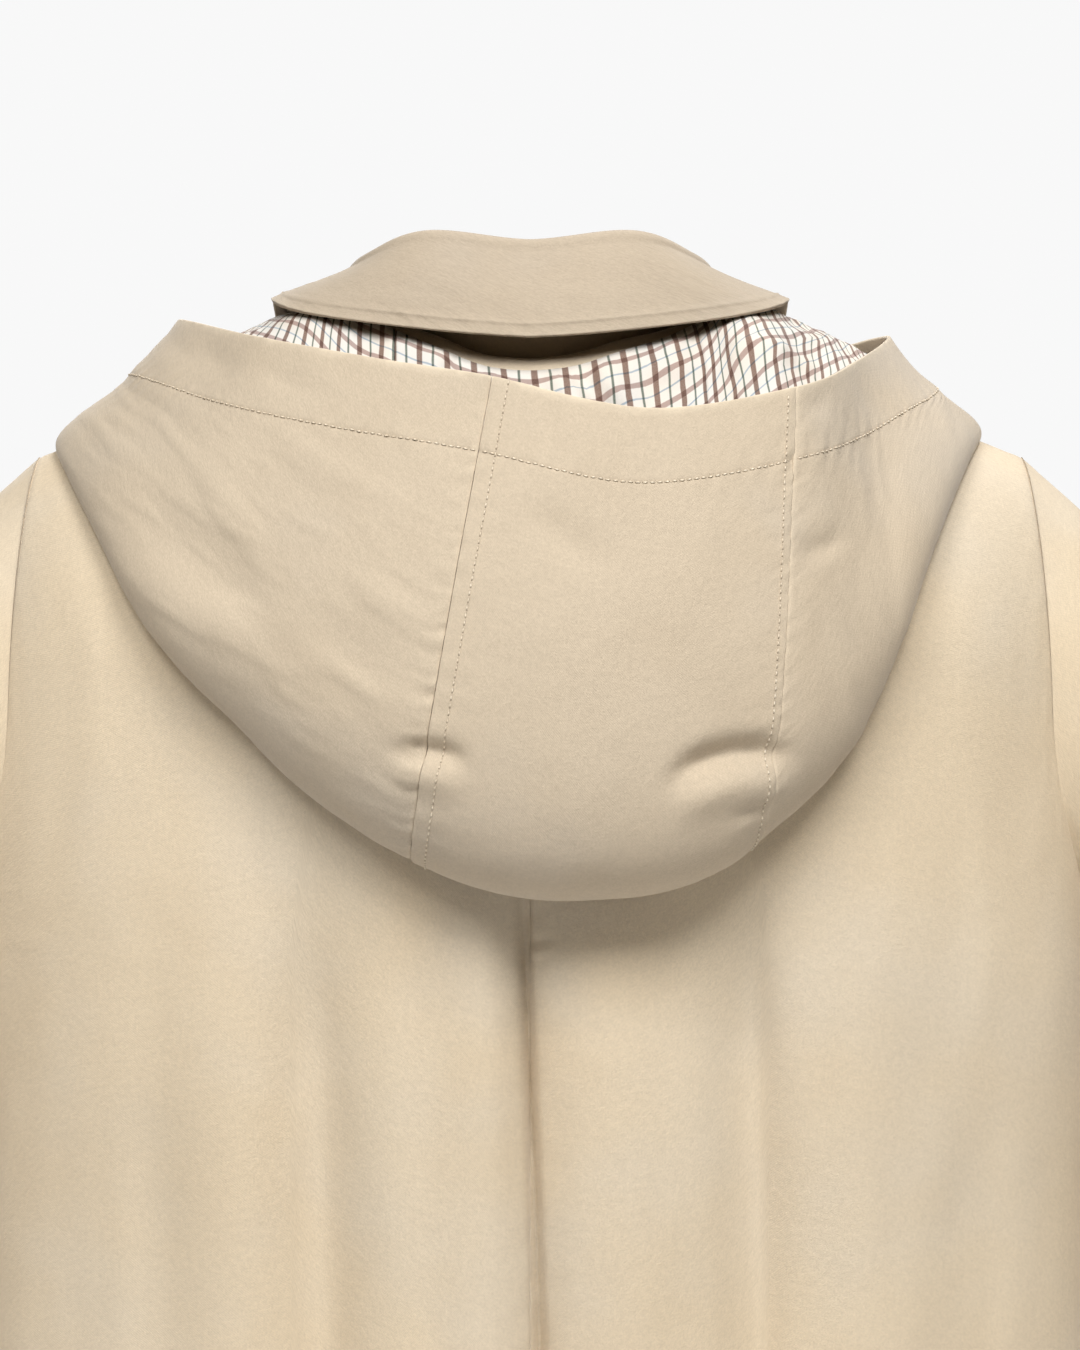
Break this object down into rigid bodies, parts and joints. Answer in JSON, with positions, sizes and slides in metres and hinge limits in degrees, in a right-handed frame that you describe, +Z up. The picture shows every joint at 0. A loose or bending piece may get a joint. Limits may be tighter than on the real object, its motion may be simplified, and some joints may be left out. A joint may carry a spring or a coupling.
{
  "type": "hooded zip jacket",
  "caption": "Worn-form cotton jacket with fold-down collar, hood of three panels hanging at the back with a checked lining, set-in sleeves and a front zip.",
  "frame": {"origin": "midway between the two neck points, where the shoulder seams meet the neckline; the wearer's shoulders carry the jacket there", "axes": "+Z up, -Y out of the jacket's front, +X towards the wearer's left sleeve"},
  "size_m": [0.8556, 0.3225, 0.7677],
  "materials": {
    "cotton_twill": "dense beige cotton twill, matt",
    "check_lining": "plain-woven cream lining with a brown and dark green check",
    "zip_tape": "woven beige tape",
    "zip_metal": "aged pale brass, satin"
  },
  "bodies": {
    "garment": {"back_left": "cotton_twill", "back_right": "cotton_twill", "front_left": "cotton_twill", "front_right": "cotton_twill", "sleeve_left": "cotton_twill", "sleeve_right": "cotton_twill", "collar": "cotton_twill", "hood_left": "cotton_twill", "hood_middle": "cotton_twill", "hood_right": "cotton_twill", "lining_left": "check_lining", "lining_middle": "check_lining", "lining_right": "check_lining", "zip_tape_left": "zip_tape", "zip_tape_right": "zip_tape", "zip_slider": "zip_metal", "zip_box": "zip_metal"},
    "pull_tab": {"zip_pull": "zip_metal"}
  },
  "joints": [
    {"name": "pull_tab_hinge", "type": "hinge", "parent": "garment", "child": "pull_tab", "pos_m": [0, -0.09974, -0.10199], "axis": [-1, 0, 0], "range_deg": [0, 140]}
  ]
}
